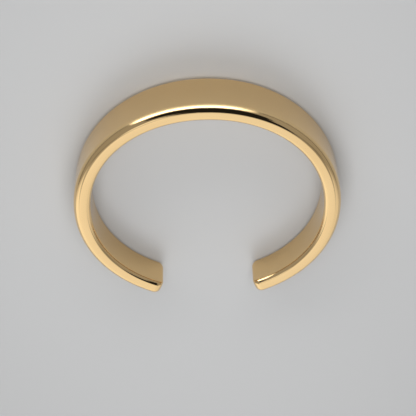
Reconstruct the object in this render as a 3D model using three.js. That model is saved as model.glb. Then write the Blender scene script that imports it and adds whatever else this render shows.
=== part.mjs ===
// A plain polished cuff bracelet, in millimetres, +Z up.
// It lies on its side, on one of its two flat rims, with the wrist hollow open along Z
// and the gap between its two ends facing -Y. The origin is under the middle of its box.
import * as THREE from 'three';

// The oval that the outer face follows, seen along the wrist
const outerWidth = 66;
const backDepth = 30.9;
const frontDepth = 30.4;
const ovalPower = 2.05;
const gapWidth = 22.4;

// The bar that the cuff is bent from: its rims taper in two planes from the back to the ends
const wallThickness = 4.3;
const widthAtBack = 14.2;
const widthAtEnds = 9.2;
const outerEdgeRadius = 1.7;
const innerEdgeRadius = 1.1;

// The two ends: corners rounded as seen from outside, and a softened edge round each end face
const endCornerRadius = 2;
const endOuterRounding = 1.6;
const endInnerRounding = 1;

// How finely the curves are faceted
const bandSteps = 72;
const endSteps = 6;
const outerEdgeSteps = 5;
const innerEdgeSteps = 3;
const curveSamples = 720;

// Point of the outer face at an angle from +X, on one half oval at the back and one at the front.
function ovalPoint(angle) {
  const across = Math.cos(angle);
  const along = Math.sin(angle);
  const depth = along >= 0 ? backDepth : frontDepth;
  return new THREE.Vector2(
    (outerWidth / 2) * Math.sign(across) * Math.abs(across) ** (2 / ovalPower),
    depth * Math.sign(along) * Math.abs(along) ** (2 / ovalPower),
  );
}

// Direction that points straight out of the oval at an angle.
function ovalNormal(angle) {
  const nudge = 1e-3;
  const ahead = ovalPoint(angle + nudge);
  const run = ahead.sub(ovalPoint(angle - nudge)).normalize();
  return new THREE.Vector2(run.y, -run.x);
}

// Angle before -Y at which an end face starts, so that its inner edges stand gapWidth apart.
function endAngle() {
  let low = -Math.PI / 2;
  let high = 0;
  for (let i = 0; i < 50; i += 1) {
    const middle = (low + high) / 2;
    const innerX = ovalPoint(middle).x - wallThickness * ovalNormal(middle).x;
    if (innerX < gapWidth / 2) low = middle;
    else high = middle;
  }
  return high;
}

// The outer face as a list of places with their distance along it, from one end to the other.
function outerRun() {
  const first = endAngle();
  const last = Math.PI - first;
  const places = [];
  let distance = 0;
  for (let i = 0; i <= curveSamples; i += 1) {
    const angle = first + ((last - first) * i) / curveSamples;
    const point = ovalPoint(angle);
    if (i > 0) distance += point.distanceTo(places[i - 1].point);
    places.push({ angle, point, distance });
  }
  return places;
}

// Angle on the oval at a distance along the outer face.
function angleAt(places, distance) {
  let i = 1;
  while (i < places.length - 1 && places[i].distance < distance) i += 1;
  const before = places[i - 1];
  const after = places[i];
  const share = (distance - before.distance) / (after.distance - before.distance);
  return before.angle + share * (after.angle - before.angle);
}

// How far a quarter-round edge of a radius stands back, at a depth behind the end face.
function roundingSetback(radius, depth) {
  if (depth >= radius) return 0;
  return radius - Math.sqrt(radius ** 2 - (radius - depth) ** 2);
}

// Distances of the sections from one end: close together on the rounded ends, even between them.
function sectionDistances(length) {
  const distances = [];
  for (let i = 0; i < endSteps; i += 1) {
    distances.push(endCornerRadius * (1 - Math.cos((Math.PI / 2) * (i / endSteps))));
  }
  const evenLength = length - 2 * endCornerRadius;
  for (let i = 0; i <= bandSteps; i += 1) {
    distances.push(endCornerRadius + (evenLength * i) / bandSteps);
  }
  for (let i = endSteps - 1; i >= 0; i -= 1) {
    distances.push(length - endCornerRadius * (1 - Math.cos((Math.PI / 2) * (i / endSteps))));
  }
  return distances;
}

// Half of one section's outline, from the middle of the outer face over the upper rim to the middle
// of the inner face. inward is measured from the outer face and drop from the rim.
function halfOutline(endDepth) {
  const outerSetback = roundingSetback(endOuterRounding, endDepth);
  const innerSetback = roundingSetback(endInnerRounding, endDepth);
  const sideSetback = roundingSetback(endCornerRadius, endDepth);
  const outerRadius = outerEdgeRadius - outerSetback / 2;
  const innerRadius = innerEdgeRadius - innerSetback / 2;
  const outline = [];
  for (let i = 0; i <= outerEdgeSteps; i += 1) {
    const turn = (Math.PI / 2) * (i / outerEdgeSteps);
    outline.push({
      inward: outerSetback + outerRadius * (1 - Math.cos(turn)),
      drop: sideSetback + outerRadius * (1 - Math.sin(turn)),
    });
  }
  for (let i = 0; i <= innerEdgeSteps; i += 1) {
    const turn = (Math.PI / 2) * (i / innerEdgeSteps);
    outline.push({
      inward: wallThickness - innerSetback - innerRadius * (1 - Math.sin(turn)),
      drop: sideSetback + innerRadius * (1 - Math.cos(turn)),
    });
  }
  return outline;
}

// Height of the rim above the band's middle plane at a place along Y.
function rimHeight(y) {
  const endY = ovalPoint(endAngle()).y;
  const share = (y - endY) / (backDepth - endY);
  return (widthAtEnds + (widthAtBack - widthAtEnds) * share) / 2;
}

// One closed ring of points round the bar: the upper half outline, then the lower one back.
function sectionRing(angle, endDepth) {
  const point = ovalPoint(angle);
  const normal = ovalNormal(angle);
  const half = halfOutline(endDepth);
  const upper = half.map(({ inward, drop }) => {
    const x = point.x - normal.x * inward;
    const y = point.y - normal.y * inward;
    return new THREE.Vector3(x, y, rimHeight(y) - drop);
  });
  const lower = upper.map((corner) => new THREE.Vector3(corner.x, corner.y, -corner.z)).reverse();
  return [...upper, ...lower];
}

// The band's faces: strips between neighbouring rings, and a fan over each end ring.
function bandGeometry() {
  const places = outerRun();
  const { distance: length } = places[places.length - 1];
  const rings = sectionDistances(length).map((distance) => {
    const endDepth = Math.min(distance, length - distance);
    return sectionRing(angleAt(places, distance), endDepth);
  });
  const count = rings[0].length;
  const positions = rings.flat().flatMap((corner) => [corner.x, corner.y, corner.z]);
  const faces = [];
  for (let ring = 0; ring < rings.length - 1; ring += 1) {
    for (let i = 0; i < count; i += 1) {
      const here = ring * count + i;
      const beside = ring * count + ((i + 1) % count);
      faces.push(here, here + count, beside);
      faces.push(beside, here + count, beside + count);
    }
  }
  const lastRing = (rings.length - 1) * count;
  for (let i = 1; i < count - 1; i += 1) {
    faces.push(0, i, i + 1);
    faces.push(lastRing, lastRing + i + 1, lastRing + i);
  }
  const geometry = new THREE.BufferGeometry();
  geometry.setAttribute('position', new THREE.Float32BufferAttribute(positions, 3));
  geometry.setIndex(faces);
  geometry.computeVertexNormals();
  return geometry;
}

// Turn of a rim plane from the middle plane, which lays the lower rim flat.
function rimTilt() {
  const endY = ovalPoint(endAngle()).y;
  return Math.atan((widthAtBack - widthAtEnds) / 2 / (backDepth - endY));
}

const polishedGold = new THREE.MeshStandardMaterial({
  name: 'polished_gold',
  color: new THREE.Color('#d9b26a'),
  roughness: 0.12,
  metalness: 1,
});

const band = new THREE.Mesh(bandGeometry(), polishedGold);
band.name = 'cuff_band';
band.rotation.x = rimTilt();
band.updateMatrixWorld(true);

const box = new THREE.Box3().setFromObject(band, true);
band.position.set(0, -(box.min.y + box.max.y) / 2, -box.min.z);

const cuff = new THREE.Group();
cuff.name = 'cuff_bracelet';
cuff.add(band);

export default cuff;
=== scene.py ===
import logging
import math
from dataclasses import dataclass
from dataclasses import field
from enum import Enum
from typing import Any
from typing import NamedTuple

import bmesh
import bpy
from mathutils import Matrix
from mathutils import Vector


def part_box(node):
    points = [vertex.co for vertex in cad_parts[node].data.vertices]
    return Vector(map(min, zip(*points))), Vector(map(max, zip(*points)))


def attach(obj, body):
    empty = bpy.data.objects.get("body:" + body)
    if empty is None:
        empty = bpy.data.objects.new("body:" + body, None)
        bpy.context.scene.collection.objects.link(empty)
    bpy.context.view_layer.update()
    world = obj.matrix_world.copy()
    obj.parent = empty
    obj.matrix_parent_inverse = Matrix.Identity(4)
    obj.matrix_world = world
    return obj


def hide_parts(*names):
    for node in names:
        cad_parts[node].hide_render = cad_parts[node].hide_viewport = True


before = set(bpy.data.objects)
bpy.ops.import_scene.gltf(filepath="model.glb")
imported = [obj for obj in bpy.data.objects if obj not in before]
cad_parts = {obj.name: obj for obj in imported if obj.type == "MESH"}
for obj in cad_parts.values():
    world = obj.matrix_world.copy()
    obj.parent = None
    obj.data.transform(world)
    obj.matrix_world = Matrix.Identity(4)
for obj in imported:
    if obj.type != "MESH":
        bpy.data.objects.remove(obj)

LOG = logging.getLogger("cuff")
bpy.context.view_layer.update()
MM = 0.001
IMAGE_SIZE_PX = 416
ON_A_PLANE = 1e-7
PARALLEL = 0.999
ALONG_BAR = Vector((1.0, 0.0, 0.0))
THROUGH_BAR = Vector((0.0, 1.0, 0.0))
ACROSS_BAR = Vector((0.0, 0.0, 1.0))


class Face(Enum):
    """The two broad faces of the bar, by the side of the wrist that they are on."""

    OUTER = "outer"
    INNER = "inner"


class Step(NamedTuple):
    """A soft step from 0 to 1: the value at its middle, and its width."""

    edge: float
    softness: float


class Socket:
    """A shader output that adds Math nodes when it is used in an expression."""

    def __init__(self, tree: "Shader", link: bpy.types.NodeSocket) -> None:
        """Wraps one output.

        Args:
            tree: The shader that the output belongs to.
            link: The output itself.
        """
        self.tree = tree
        self.link = link

    def _math(self, operation: str, first: Any, second: Any) -> "Socket":
        """Adds one Math node.

        Args:
            operation: The Math node's operation.
            first: Its first value or link.
            second: Its second value or link.

        Returns:
            The node's result.
        """
        return self.tree.node("ShaderNodeMath", {"operation": operation}, {0: first, 1: second})

    def __add__(self, other: Any) -> "Socket":
        """Sum of this and another."""
        return self._math("ADD", self, other)

    def __radd__(self, other: Any) -> "Socket":
        """Sum of another and this."""
        return self._math("ADD", other, self)

    def __sub__(self, other: Any) -> "Socket":
        """This less another."""
        return self._math("SUBTRACT", self, other)

    def __rsub__(self, other: Any) -> "Socket":
        """Another less this."""
        return self._math("SUBTRACT", other, self)

    def __mul__(self, other: Any) -> "Socket":
        """Product of this and another."""
        return self._math("MULTIPLY", self, other)

    def __rmul__(self, other: Any) -> "Socket":
        """Product of another and this."""
        return self._math("MULTIPLY", other, self)

    def __truediv__(self, other: Any) -> "Socket":
        """This over another."""
        return self._math("DIVIDE", self, other)

    def __rtruediv__(self, other: Any) -> "Socket":
        """Another over this."""
        return self._math("DIVIDE", other, self)

    def raised(self, power: float) -> "Socket":
        """This to a power."""
        return self._math("POWER", self, power)

    def above(self, edge: Any, softness: float) -> "Socket":
        """0 where this is below an edge and 1 where it is above, with a soft step between.

        Args:
            edge: The value at the middle of the step.
            softness: The width of the step.

        Returns:
            The step.
        """
        return ((self - edge) / softness + 0.5).clipped()

    def clipped(self) -> "Socket":
        """This held between 0 and 1."""
        return self.tree.node("ShaderNodeClamp", {}, {"Value": self})


class Shader:
    """A node tree with one method that adds any node."""

    def __init__(self, owner: bpy.types.ID) -> None:
        """Clears the node tree of a material or world.

        Args:
            owner: The material or world.
        """
        owner.use_nodes = True
        self.nodes = owner.node_tree.nodes
        self.links = owner.node_tree.links
        self.nodes.clear()

    def node(
        self,
        kind: str,
        settings: dict[str, Any],
        inputs: dict[Any, Any],
        output: int | str = 0,
    ) -> Socket:
        """Adds a node.

        Args:
            kind: The node's type.
            settings: Its own settings, set before its sockets.
            inputs: A value or a link for each named or numbered socket.
            output: The output that is wanted.

        Returns:
            That output.
        """
        made = self.nodes.new(kind)
        for name, value in settings.items():
            setattr(made, name, value)
        for name, value in inputs.items():
            if isinstance(value, Socket):
                self.links.new(value.link, made.inputs[name])
            else:
                made.inputs[name].default_value = value
        wanted = made.outputs[output] if made.outputs else None
        return Socket(self, wanted)


@dataclass(frozen=True)
class PolishedGold:
    """Warm gold plate, polished to a mirror, with the faint haze and hairlines of wear."""

    deep: tuple[float, float, float, float] = (0.80, 0.550, 0.262, 1.0)
    pale: tuple[float, float, float, float] = (0.88, 0.640, 0.335, 1.0)
    roughness: float = 0.04
    haze: float = 0.04
    tone_scale: float = 55.0
    tone_detail: float = 3.0
    haze_scale: float = 240.0
    haze_detail: float = 5.0
    hairline_scale: float = 900.0
    hairline_detail: float = 2.0
    hairline_stretch: float = 14.0
    hairline_rarity: float = 0.58
    hairline_contrast: float = 9.0
    hairline_haze: float = 0.6
    hairline_depth: float = 0.012
    ripple_scale: float = 120.0
    ripple_detail: float = 1.0
    ripple_depth: float = 0.02
    bump_distance: float = 0.2 * MM

    def material(self) -> bpy.types.Material:
        """Makes the material.

        Returns:
            The finished gold.
        """
        made = bpy.data.materials.new("polished_gold")
        shader = Shader(made)
        place = shader.node("ShaderNodeTexCoord", {}, {}, "Object")
        tone = self._noise(shader, place, self.tone_scale, self.tone_detail)
        haze = self._noise(shader, place, self.haze_scale, self.haze_detail)
        hairlines = self._hairlines(shader, place)
        ripple = self._noise(shader, place, self.ripple_scale, self.ripple_detail)
        colour = shader.node(
            "ShaderNodeMix",
            {"data_type": "RGBA"},
            {"Factor": tone, 6: self.deep, 7: self.pale},
            2,
        )
        wear = self.haze * haze * haze + self.haze * self.hairline_haze * hairlines
        roughness = (self.roughness + wear).clipped()
        height = self.ripple_depth * ripple - self.hairline_depth * hairlines
        bump = shader.node(
            "ShaderNodeBump",
            {},
            {"Strength": 1.0, "Distance": self.bump_distance, "Height": height},
        )
        surface = shader.node(
            "ShaderNodeBsdfPrincipled",
            {},
            {
                "Base Color": colour,
                "Metallic": 1.0,
                "Roughness": roughness,
                "Normal": bump,
            },
        )
        shader.node("ShaderNodeOutputMaterial", {}, {"Surface": surface})
        return made

    @staticmethod
    def _noise(shader: Shader, place: Socket, scale: float, detail: float) -> Socket:
        """Soft noise in the metal's own space.

        Args:
            shader: The tree that it goes in.
            place: Where the surface point is.
            scale: Noise cells per metre.
            detail: Octaves of finer noise.

        Returns:
            A value from 0 to 1.
        """
        inputs = {"Vector": place, "Scale": scale, "Detail": detail}
        return shader.node("ShaderNodeTexNoise", {}, inputs)

    def _hairlines(self, shader: Shader, place: Socket) -> Socket:
        """Fine polishing lines that run round the band.

        Args:
            shader: The tree that they go in.
            place: Where the surface point is.

        Returns:
            1 on a line and 0 between lines.
        """
        stretched = shader.node(
            "ShaderNodeMapping",
            {},
            {"Vector": place, "Scale": (1.0, 1.0, self.hairline_stretch)},
        )
        noise = self._noise(shader, stretched, self.hairline_scale, self.hairline_detail)
        return ((noise - self.hairline_rarity) * self.hairline_contrast).clipped()


@dataclass(frozen=True)
class StudioFloor:
    """Pale, smooth, softly sheened table top."""

    colour: tuple[float, float, float, float] = (0.41, 0.413, 0.416, 1.0)
    roughness: float = 0.35

    def material(self) -> bpy.types.Material:
        """Makes the material.

        Returns:
            The finished top.
        """
        made = bpy.data.materials.new("pale_floor")
        shader = Shader(made)
        surface = shader.node(
            "ShaderNodeBsdfPrincipled",
            {},
            {"Base Color": self.colour, "Roughness": self.roughness},
        )
        shader.node("ShaderNodeOutputMaterial", {}, {"Surface": surface})
        return made


@dataclass(frozen=True)
class OvalPlace:
    """One place on the outer face: where it is, which way is out, and how far along it is."""

    x: float
    y: float
    out_x: float
    out_y: float
    distance: float


@dataclass
class Oval:
    """The open oval that the outer face follows, in metres, seen along the wrist."""

    width: float = 66.0 * MM
    back_depth: float = 30.9 * MM
    front_depth: float = 30.4 * MM
    power: float = 2.05
    gap_width: float = 22.4 * MM
    samples: int = 720
    halvings: int = 50
    nudge: float = 1e-3
    places: list[OvalPlace] = field(default_factory=list)

    def point(self, angle: float) -> Vector:
        """Point of the oval at an angle from +X.

        Args:
            angle: The angle in radians.

        Returns:
            The point, flat in X and Y.
        """
        across = math.cos(angle)
        along = math.sin(angle)
        depth = self.back_depth if along >= 0 else self.front_depth
        share = 2 / self.power
        return Vector(
            (
                self.width / 2 * math.copysign(abs(across) ** share, across),
                depth * math.copysign(abs(along) ** share, along),
            )
        )

    def normal(self, angle: float) -> Vector:
        """Direction straight out of the oval at an angle."""
        run = (self.point(angle + self.nudge) - self.point(angle - self.nudge)).normalized()
        return Vector((run.y, -run.x))

    def end_angle(self, wall: float) -> float:
        """Angle of the right-hand end, so that the inner edges stand the gap apart.

        Args:
            wall: The bar's thickness.

        Returns:
            The angle in radians, before -Y.
        """
        low = -math.pi / 2
        high = 0.0
        for _ in range(self.halvings):
            middle = (low + high) / 2
            inner_x = self.point(middle).x - wall * self.normal(middle).x
            if inner_x < self.gap_width / 2:
                low = middle
            else:
                high = middle
        return high

    def measure(self, wall: float) -> float:
        """Works out the places along the outer face, from the right end to the left one.

        Args:
            wall: The bar's thickness.

        Returns:
            The length of the outer face.
        """
        first = self.end_angle(wall)
        last = math.pi - first
        distance = 0.0
        before = self.point(first)
        self.places = []
        for i in range(self.samples + 1):
            angle = first + (last - first) * i / self.samples
            point = self.point(angle)
            out = self.normal(angle)
            distance += (point - before).length
            before = point
            self.places.append(OvalPlace(point.x, point.y, out.x, out.y, distance))
        return distance

    def at(self, distance: float) -> tuple[Vector, Vector]:
        """Point and outward direction at a distance along the outer face.

        Args:
            distance: The distance from the right end.

        Returns:
            The point and the direction.
        """
        low = 0
        high = len(self.places) - 1
        while high - low > 1:
            middle = (low + high) // 2
            if self.places[middle].distance < distance:
                low = middle
            else:
                high = middle
        first = self.places[low]
        second = self.places[high]
        share = (distance - first.distance) / (second.distance - first.distance)
        point = Vector((first.x, first.y)).lerp(Vector((second.x, second.y)), share)
        out = Vector((first.out_x, first.out_y)).lerp(Vector((second.out_x, second.out_y)), share)
        return point, out.normalized()


@dataclass
class CuffBand:
    """The whole cuff: a flat bar with rounded corners and edges, bent round the oval."""

    oval: Oval = field(default_factory=Oval)
    wall: float = 4.3 * MM
    width_at_back: float = 14.2 * MM
    width_at_ends: float = 9.2 * MM
    outer_edge_radius: float = 1.7 * MM
    inner_edge_radius: float = 1.1 * MM
    end_corner_radius: float = 2.0 * MM
    edge_steps: int = 12
    corner_steps: int = 12
    bend_steps: int = 260
    end_cuts: int = 5
    support: float = 0.12 * MM
    rim_strips: int = 4
    face_strips: int = 8
    rim_crown: float = 0.15 * MM
    face_crown: float = 0.05 * MM

    def build(self, finish: bpy.types.Material) -> bpy.types.Object:
        """Makes the band and lays it on its lower rim.

        Args:
            finish: The metal's finish.

        Returns:
            The band, in place of its CAD node.
        """
        length = self.oval.measure(self.wall)
        bar = self._cut_bar(length)
        self._round_edges(bar, Face.OUTER, self.outer_edge_radius)
        self._round_edges(bar, Face.INNER, self.inner_edge_radius)
        self._cut_stations(bar, length)
        self._bend(bar, length)
        self._lay_down(bar)
        bmesh.ops.recalc_face_normals(bar, faces=bar.faces)
        for face in bar.faces:
            face.smooth = True
        mesh = bpy.data.meshes.new("polished_band")
        bar.to_mesh(mesh)
        bar.free()
        band = bpy.data.objects.new("polished_band", mesh)
        bpy.context.collection.objects.link(band)
        mesh.materials.append(finish)
        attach(band, "root")
        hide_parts("cuff_band")
        return band

    def _cut_bar(self, length: float) -> bmesh.types.BMesh:
        """Straight bar with its corners rounded as seen from outside: X along, Y thick, Z wide.

        Args:
            length: The length of the outer face.

        Returns:
            The bar, with its outer face at Y 0 and its inner face at minus the wall.
        """
        bar = bmesh.new()
        bmesh.ops.create_cube(bar, size=1.0)
        bmesh.ops.scale(bar, vec=(length, self.wall, self.width_at_back), verts=bar.verts)
        bmesh.ops.translate(bar, vec=(length / 2, -self.wall / 2, 0.0), verts=bar.verts)
        corners = [edge for edge in bar.edges if self._runs_along(edge, THROUGH_BAR)]
        bmesh.ops.bevel(
            bar,
            geom=corners,
            offset=self.end_corner_radius,
            offset_type="OFFSET",
            segments=self.corner_steps,
            profile=0.5,
            affect="EDGES",
            material=-1,
            clamp_overlap=False,
        )
        return bar

    @staticmethod
    def _runs_along(edge: bmesh.types.BMEdge, direction: Vector) -> bool:
        """Whether an edge runs along a direction.

        Args:
            edge: The edge.
            direction: The direction, one unit long.

        Returns:
            True if the two are parallel.
        """
        run = (edge.verts[1].co - edge.verts[0].co).normalized()
        return abs(run.dot(direction)) > PARALLEL

    def _round_edges(self, bar: bmesh.types.BMesh, side: Face, radius: float) -> None:
        """Rounds the whole edge of one broad face, ends included.

        Args:
            bar: The bar.
            side: The face.
            radius: The edge's radius.
        """
        level = 0.0 if side is Face.OUTER else -self.wall
        rim = [
            edge
            for edge in bar.edges
            if all(abs(vert.co.y - level) < ON_A_PLANE for vert in edge.verts)
        ]
        bmesh.ops.bevel(
            bar,
            geom=rim,
            offset=radius,
            offset_type="OFFSET",
            segments=self.edge_steps,
            profile=0.5,
            affect="EDGES",
            material=-1,
            clamp_overlap=False,
        )

    def _cut(self, bar: bmesh.types.BMesh, place: Vector, direction: Vector) -> None:
        """Cuts new edges through the whole bar where a plane meets it.

        Args:
            bar: The bar.
            place: A point of the plane.
            direction: The plane's normal.
        """
        bmesh.ops.bisect_plane(
            bar,
            geom=[*bar.verts, *bar.edges, *bar.faces],
            dist=ON_A_PLANE,
            plane_co=place,
            plane_no=direction,
        )

    def _cut_stations(self, bar: bmesh.types.BMesh, length: float) -> None:
        """Cuts the bar across, so that it can bend, and beside its roundings, to keep flats flat.

        Args:
            bar: The bar.
            length: The length of the outer face.
        """
        half_width = self.width_at_back / 2
        flat_rim = self.wall - self.outer_edge_radius - self.inner_edge_radius
        for i in range(1, self.rim_strips):
            depth = self.outer_edge_radius + flat_rim * i / self.rim_strips
            self._cut(bar, THROUGH_BAR * -depth, THROUGH_BAR)
        for radius in (self.outer_edge_radius, self.inner_edge_radius):
            for side in (-1, 1):
                edge_place = side * (half_width - radius - self.support)
                self._cut(bar, ACROSS_BAR * edge_place, ACROSS_BAR)
        for i in range(1, self.face_strips):
            share = 2 * i / self.face_strips - 1
            place = share * (half_width - self.end_corner_radius)
            self._cut(bar, ACROSS_BAR * place, ACROSS_BAR)
        end_zone = self.end_corner_radius + self.support
        for i in range(1, self.end_cuts + 1):
            depth = end_zone * i / self.end_cuts
            self._cut(bar, ALONG_BAR * depth, ALONG_BAR)
            self._cut(bar, ALONG_BAR * (length - depth), ALONG_BAR)
        long_edges = [
            edge
            for edge in bar.edges
            if self._runs_along(edge, ALONG_BAR) and edge.calc_length() > length / 2
        ]
        bmesh.ops.subdivide_edges(
            bar,
            edges=long_edges,
            cuts=self.bend_steps - 1,
            use_grid_fill=True,
        )

    def _rim_height(self, y: float) -> float:
        """Height of the rim above the middle plane.

        Args:
            y: The place along Y.

        Returns:
            The height.
        """
        end_y = self.oval.places[0].y
        share = (y - end_y) / (self.oval.back_depth - end_y)
        return (self.width_at_ends + (self.width_at_back - self.width_at_ends) * share) / 2

    def _bend(self, bar: bmesh.types.BMesh, length: float) -> None:
        """Bends the bar round the oval and narrows it towards its ends.

        Args:
            bar: The bar.
            length: The length of the outer face.
        """
        half_width = self.width_at_back / 2
        kept = self.end_corner_radius
        for vert in bar.verts:
            point, out = self.oval.at(min(max(vert.co.x, 0.0), length))
            off_middle = (vert.co.y + self.wall / 2) / (self.wall / 2)
            off_centre = vert.co.z / half_width
            swell = self.face_crown * off_centre**2 * off_middle
            place = point + out * (vert.co.y - swell)
            height = self._rim_height(place.y) - self.rim_crown * off_middle**2
            across = abs(vert.co.z)
            if across > half_width - kept:
                across = height - (half_width - across)
            else:
                across *= (height - kept) / (half_width - kept)
            vert.co = Vector((place.x, place.y, math.copysign(across, vert.co.z)))

    def _lay_down(self, bar: bmesh.types.BMesh) -> None:
        """Turns the band onto its lower rim and centres it over the origin."""
        bmesh.ops.rotate(
            bar,
            cent=(0.0, 0.0, 0.0),
            matrix=Matrix.Rotation(self.rim_tilt(), 3, "X"),
            verts=bar.verts,
        )
        bmesh.ops.translate(bar, vec=self.shift(), verts=bar.verts)

    def rim_tilt(self) -> float:
        """Turn of a rim plane from the middle plane.

        Returns:
            The turn in radians.
        """
        run = self.oval.back_depth - self.oval.places[0].y
        return math.atan((self.width_at_back - self.width_at_ends) / 2 / run)

    def shift(self) -> Vector:
        """Move that brings the turned band over the origin, worked out from the CAD node's place.

        Returns:
            The move.
        """
        lowest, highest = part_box("cuff_band")
        tilt = self.rim_tilt()
        back = self.oval.back_depth
        low_height = self.width_at_back / 2 - self.outer_edge_radius
        back_y = back * math.cos(tilt) + low_height * math.sin(tilt)
        rim_z = self._rim_height(back) * math.cos(tilt) - back * math.sin(tilt)
        return Vector((0.0, highest[1] - back_y, lowest[2] + rim_z))


@dataclass(frozen=True)
class PhotoCamera:
    """The photograph's camera, given in the band's own frame before it is laid down."""

    elevation_deg: float = 36.0
    distance: float = 400.0 * MM
    focal_px: float = 1608.0
    target_x: float = 0.19 * MM
    target_y: float = -3.6 * MM
    yaw_deg: float = -0.7
    roll_deg: float = -0.5
    sensor_mm: float = 36.0
    nearest: float = 10.0 * MM
    farthest: float = 20.0

    def place(self, band: CuffBand) -> bpy.types.Object:
        """Makes the camera and gives it to the scene.

        Args:
            band: The band that it looks at.

        Returns:
            The camera.
        """
        elevation = math.radians(self.elevation_deg)
        yaw = Matrix.Rotation(math.radians(self.yaw_deg), 3, "Y")
        back = Vector((0.0, math.sin(elevation), math.cos(elevation)))
        target = Vector((self.target_x, self.target_y, 0.0))
        position = back * self.distance
        forward = (target - position).normalized()
        right = forward.cross(Vector((0.0, 1.0, 0.0))).normalized()
        upward = right.cross(forward)
        roll = math.radians(self.roll_deg)
        rolled_right = right * math.cos(roll) + upward * math.sin(roll)
        rolled_up = upward * math.cos(roll) - right * math.sin(roll)
        turn = Matrix((rolled_right, rolled_up, -forward)).transposed()
        laid = Matrix.Rotation(band.rim_tilt(), 3, "X") @ yaw
        data = bpy.data.cameras.new("photo_camera")
        data.sensor_width = self.sensor_mm
        data.lens = self.sensor_mm * self.focal_px / IMAGE_SIZE_PX
        data.clip_start = self.nearest
        data.clip_end = self.farthest
        camera = bpy.data.objects.new("photo_camera", data)
        bpy.context.collection.objects.link(camera)
        camera.matrix_world = (
            Matrix.Translation(laid @ position + band.shift()) @ (laid @ turn).to_4x4()
        )
        bpy.context.scene.camera = camera
        return camera


@dataclass(frozen=True)
class Panel:
    """One soft light panel for the floor. The metal doesn't mirror it."""

    name: str
    azimuth_deg: float
    elevation_deg: float
    distance: float
    width: float
    height: float
    radiance: float

    def hang(self) -> bpy.types.Object:
        """Makes the panel, facing the cuff. Azimuth 0 stands at +Y and 90 at +X.

        Returns:
            The light.
        """
        azimuth = math.radians(self.azimuth_deg)
        elevation = math.radians(self.elevation_deg)
        away = Vector(
            (
                math.sin(azimuth) * math.cos(elevation),
                math.cos(azimuth) * math.cos(elevation),
                math.sin(elevation),
            )
        )
        data = bpy.data.lights.new(self.name, "AREA")
        data.shape = "RECTANGLE"
        data.size = self.width
        data.size_y = self.height
        data.energy = self.radiance * math.pi * self.width * self.height
        light = bpy.data.objects.new(self.name, data)
        light.visible_glossy = False
        bpy.context.collection.objects.link(light)
        light.location = away * self.distance
        light.rotation_euler = away.to_track_quat("Z", "Y").to_euler()
        return light


@dataclass(frozen=True)
class Direction:
    """A direction in the room, as three numbers that change over the sky.

    Height is the sine of the elevation. The others are the cosine and the sine of the azimuth,
    which is 0 toward +Y, the closed back, and 90 degrees toward +X.
    """

    height: Socket
    toward_back: Socket
    toward_right: Socket


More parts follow.
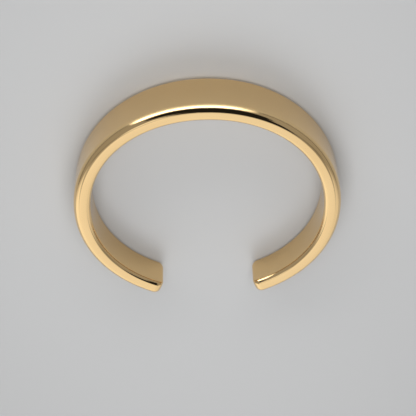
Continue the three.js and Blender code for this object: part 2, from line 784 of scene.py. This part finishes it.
@dataclass(frozen=True)
class Room:
    """Soft light all round: a wide bright front, dim sides, a low bright strip and a dark ceiling."""

    front_light: float = 1.0
    side_light: float = 0.35
    strip_light: float = 3.8
    ceiling_light: float = 0.015
    front_edge: Step = Step(-0.5, 0.3)
    front_lean: float = 0.25
    skirting_top: Step = Step(0.12, 0.10)
    skirting_dimming: float = 0.35
    strip_reach: Step = Step(0.66, 0.10)
    strip_right_end: Step = Step(0.42, 0.3)
    strip_top: Step = Step(0.47, 0.06)
    ceiling_edge: Step = Step(0.60, 0.05)
    ceiling_rise: float = 0.9
    ceiling_lean: float = 0.06
    overhead_edge: Step = Step(0.93, 0.03)
    overhead_lean: float = 0.06
    softbox_reach: Step = Step(-0.90, 0.08)
    softbox_top: Step = Step(0.865, 0.03)
    shade_bottom: Step = Step(0.66, 0.12)
    shade_top: Step = Step(0.90, 0.03)
    shade_reach: Step = Step(-0.30, 0.3)
    shade_dimming: float = 0.60
    zenith_guard: float = 1e-4

    def light(self) -> None:
        """Makes the room's light and gives it to the scene."""
        world = bpy.data.worlds.new("studio_room")
        bpy.context.scene.world = world
        shader = Shader(world)
        way = self._direction(shader)
        brightness = self._walls(way) * self._open_part(way) + self.ceiling_light
        light = shader.node(
            "ShaderNodeBackground",
            {},
            {"Color": (1.0, 1.0, 1.0, 1.0), "Strength": brightness},
        )
        shader.node("ShaderNodeOutputWorld", {}, {"Surface": light})

    def _direction(self, shader: Shader) -> Direction:
        """Splits the direction that is looked in.

        Args:
            shader: The room's tree.

        Returns:
            The direction's three numbers.
        """
        looked_in = shader.node("ShaderNodeTexCoord", {}, {}, "Generated")
        parts = shader.node("ShaderNodeSeparateXYZ", {}, {"Vector": looked_in})
        right, back, height = (Socket(shader, output) for output in parts.link.node.outputs)
        level = (1.0 - height * height + self.zenith_guard).raised(0.5)
        return Direction(height, back / level, right / level)

    def _walls(self, way: Direction) -> Socket:
        """Brightness of the front, the sides and the strip behind, as if there were no ceiling.

        Args:
            way: The direction.

        Returns:
            The brightness.
        """
        front = 1.0 - way.toward_back.above(*self.front_edge)
        strip = (
            way.toward_back.above(*self.strip_reach)
            * (1.0 - way.toward_right.above(*self.strip_right_end))
            * (1.0 - way.height.above(*self.strip_top))
        )
        skirting = 1.0 - way.height.above(*self.skirting_top)
        sides = self.side_light * (1.0 - self.skirting_dimming * skirting)
        front_light = self.front_light * (1.0 - self.front_lean * way.toward_right)
        return sides + (front_light - sides) * front + (self.strip_light - sides) * strip

    def _open_part(self, way: Direction) -> Socket:
        """Share of the walls' light that the ceiling and the shade round the softbox let through.

        Args:
            way: The direction.

        Returns:
            The share, from 0 to 1.
        """
        aside = 1.0 - way.toward_back - self.ceiling_lean * way.toward_right
        ceiling_height = self.ceiling_edge.edge + self.ceiling_rise * aside * aside
        ceiling = way.height.above(ceiling_height, self.ceiling_edge.softness)
        overhead_height = self.overhead_edge.edge - self.overhead_lean * way.toward_right
        overhead = way.height.above(overhead_height, self.overhead_edge.softness)
        softbox = (1.0 - way.toward_back.above(*self.softbox_reach)) * (
            1.0 - way.height.above(*self.softbox_top)
        )
        shade = (
            way.height.above(*self.shade_bottom)
            * (1.0 - way.height.above(*self.shade_top))
            * (1.0 - way.toward_back.above(*self.shade_reach))
            * (1.0 - softbox)
        )
        return (1.0 - self.shade_dimming * shade) * (1.0 - ceiling) * (1.0 - overhead)


@dataclass(frozen=True)
class Studio:
    """The pale floor, the panels that light it, and the room's light all round."""

    floor_size: float = 8.0
    floor_drop: float = 0.01 * MM
    room: Room = Room()
    fills: tuple[Panel, ...] = (
        Panel(
            name="front_fill",
            azimuth_deg=180.0,
            elevation_deg=58.0,
            distance=0.24,
            width=0.15,
            height=0.15,
            radiance=2.5,
        ),
        Panel(
            name="overhead_fill",
            azimuth_deg=0.0,
            elevation_deg=72.0,
            distance=0.24,
            width=0.16,
            height=0.16,
            radiance=4.7,
        ),
    )

    def build(self) -> None:
        """Makes the floor, the panels and the room."""
        self._lay_floor()
        for fill in self.fills:
            fill.hang()
        self.room.light()

    def _lay_floor(self) -> None:
        """Lays the floor a hair under the cuff."""
        sheet = bmesh.new()
        bmesh.ops.create_grid(sheet, x_segments=1, y_segments=1, size=self.floor_size / 2)
        bmesh.ops.translate(sheet, vec=(0.0, 0.0, -self.floor_drop), verts=sheet.verts)
        mesh = bpy.data.meshes.new("studio_floor")
        sheet.to_mesh(mesh)
        sheet.free()
        floor = bpy.data.objects.new("studio_floor", mesh)
        bpy.context.collection.objects.link(floor)
        mesh.materials.append(StudioFloor().material())


def main() -> None:
    """Builds the cuff, its camera and its studio."""
    logging.basicConfig(level=logging.INFO, format="%(message)s")
    bpy.context.scene.view_settings.view_transform = "Standard"
    band = CuffBand()
    piece = band.build(PolishedGold().material())
    LOG.info("%s: %d faces", piece.name, len(piece.data.polygons))
    camera = PhotoCamera().place(band)
    LOG.info("%s at %s", camera.name, tuple(round(value, 4) for value in camera.location))
    Studio().build()


if __name__ == "__main__":
    main()
